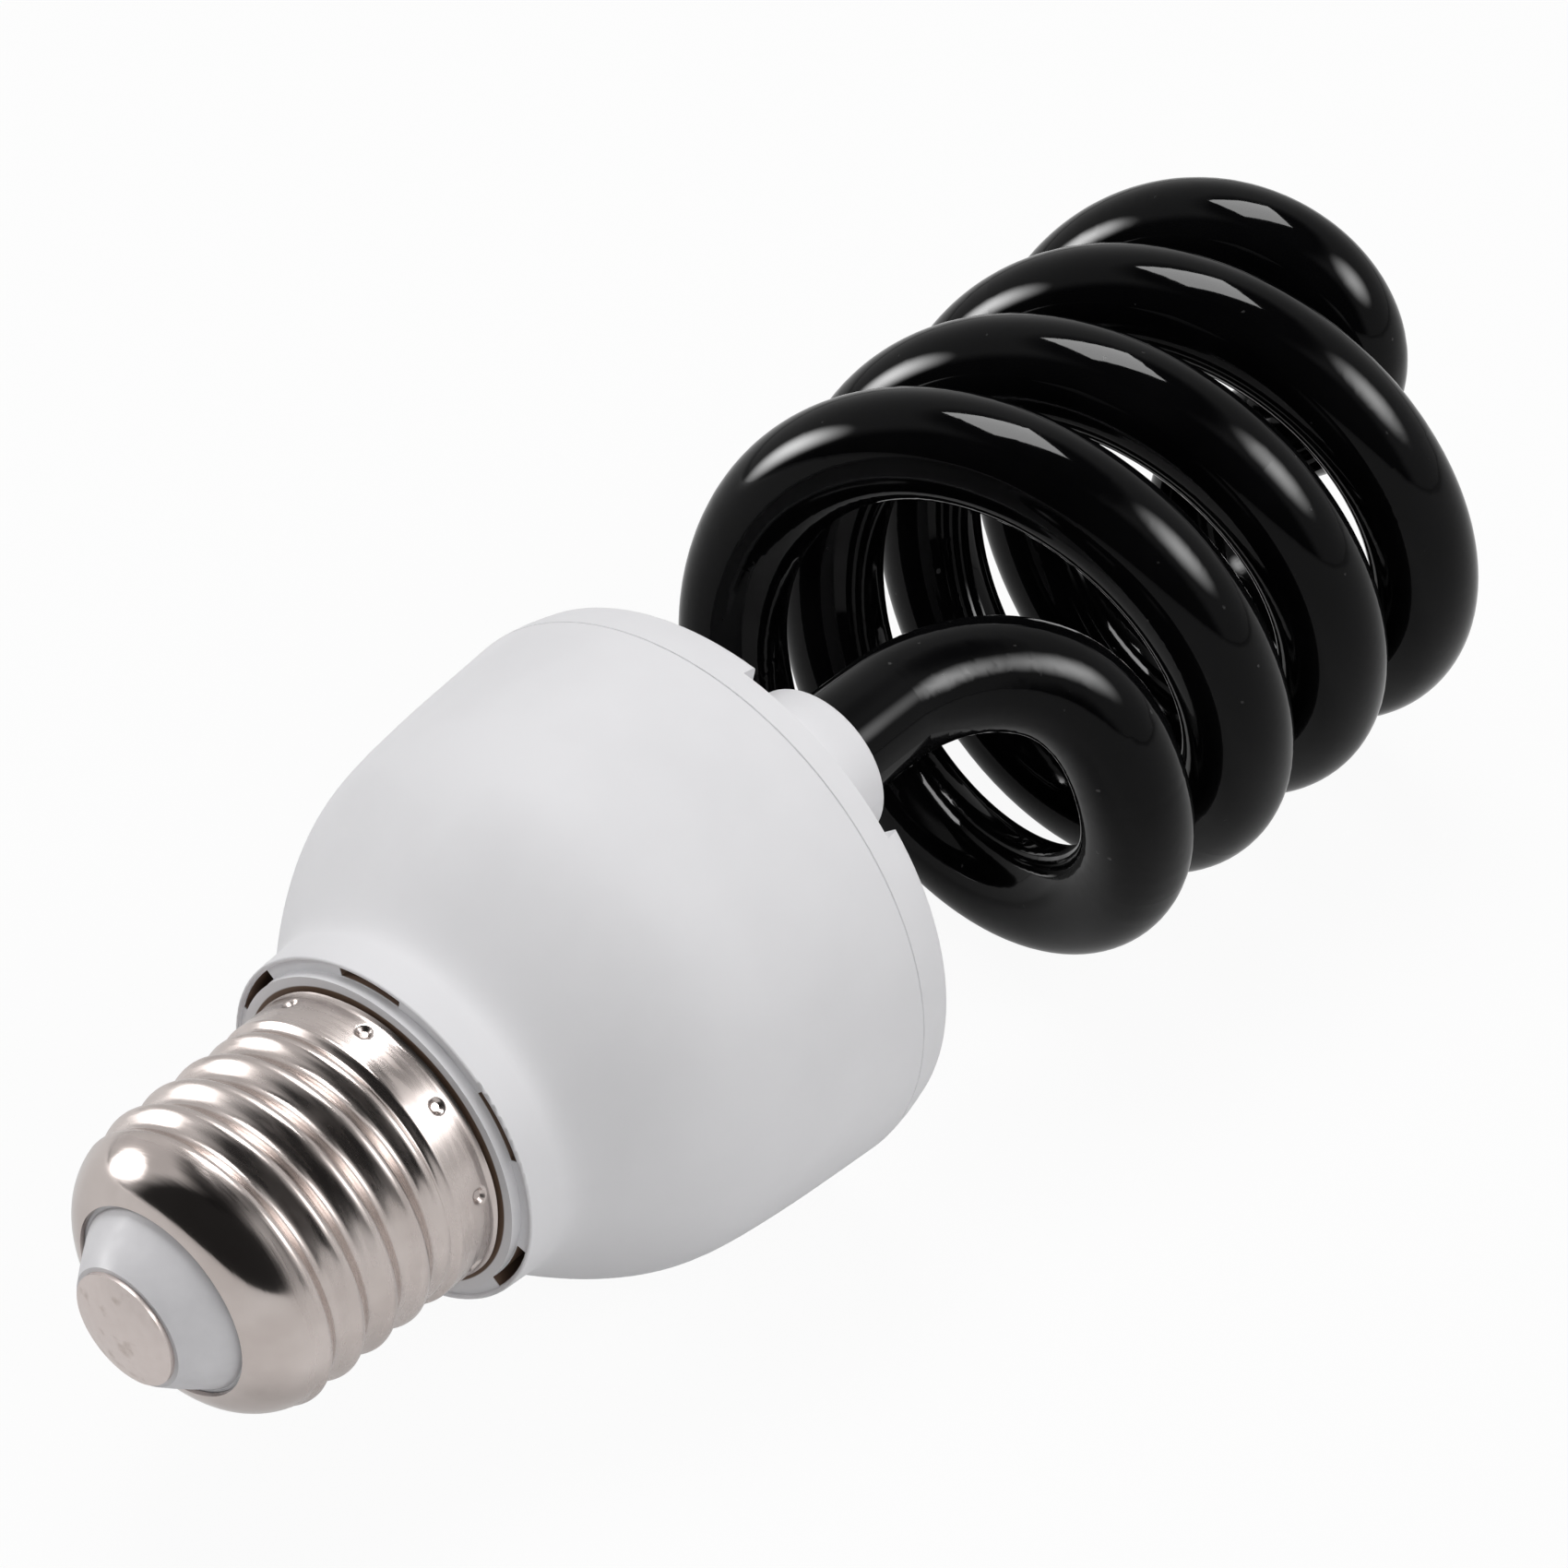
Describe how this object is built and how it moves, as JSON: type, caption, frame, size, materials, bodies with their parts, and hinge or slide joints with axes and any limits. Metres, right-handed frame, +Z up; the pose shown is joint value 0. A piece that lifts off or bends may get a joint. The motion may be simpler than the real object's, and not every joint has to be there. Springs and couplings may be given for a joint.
{
  "type": "uv black light bulb",
  "caption": "Compact spiral black light lamp: black glass coil on a white ballast housing with a nickel screw cap, lying on its side.",
  "frame": {"origin": "middle of the lamp's outer box, at the level of the surface that it lies on", "axes": "+Y along the lamp from the screw cap to the coil, +Z up, the lamp lying on its housing and coil"},
  "size_m": [0.0546, 0.1558, 0.0555],
  "materials": {
    "nickel": "bright nickel plate, rolled",
    "contact_metal": "bright plate, lightly stained",
    "insulator": "pale grey moulding, matte",
    "white_plastic": "white, satin",
    "black_glass": "opaque black, gloss",
    "cement": "off-white cement, matte",
    "board": "tan laminate, satin",
    "can_sleeve": "dark shrink sleeve",
    "ferrite": "dark grey ferrite, matte",
    "copper_winding": "varnished copper wire",
    "black_plastic": "black moulding",
    "film_capacitor": "dark red dip coat",
    "resistor": "grey-green coat",
    "wire_insulation": "white insulation",
    "tinned_wire": "tinned wire"
  },
  "bodies": {
    "root": {"screw_shell": "nickel", "cap_insulator": "insulator", "centre_contact": "contact_metal", "lower_housing": "white_plastic", "top_cover": "white_plastic", "spiral_tube": "black_glass", "ballast_board": "board", "electrolytic_capacitor": "can_sleeve", "choke_core": "ferrite", "choke_coil": "copper_winding", "drive_toroid": "ferrite", "fuse_resistor": "resistor", "contact_lead": "wire_insulation", "shell_lead": "wire_insulation", "start_capacitor": "film_capacitor", "coupling_capacitor": "film_capacitor", "transistor_1": "black_plastic", "transistor_2": "black_plastic", "rectifier_diode_1": "black_plastic", "rectifier_diode_2": "black_plastic", "rectifier_diode_3": "black_plastic", "rectifier_diode_4": "black_plastic", "cement_bead_1": "cement", "wrap_pin_1a": "tinned_wire", "tube_lead_1a": "tinned_wire", "wrap_pin_1b": "tinned_wire", "tube_lead_1b": "tinned_wire", "cement_bead_2": "cement", "wrap_pin_2a": "tinned_wire", "tube_lead_2a": "tinned_wire", "wrap_pin_2b": "tinned_wire", "tube_lead_2b": "tinned_wire"}
  },
  "joints": []
}
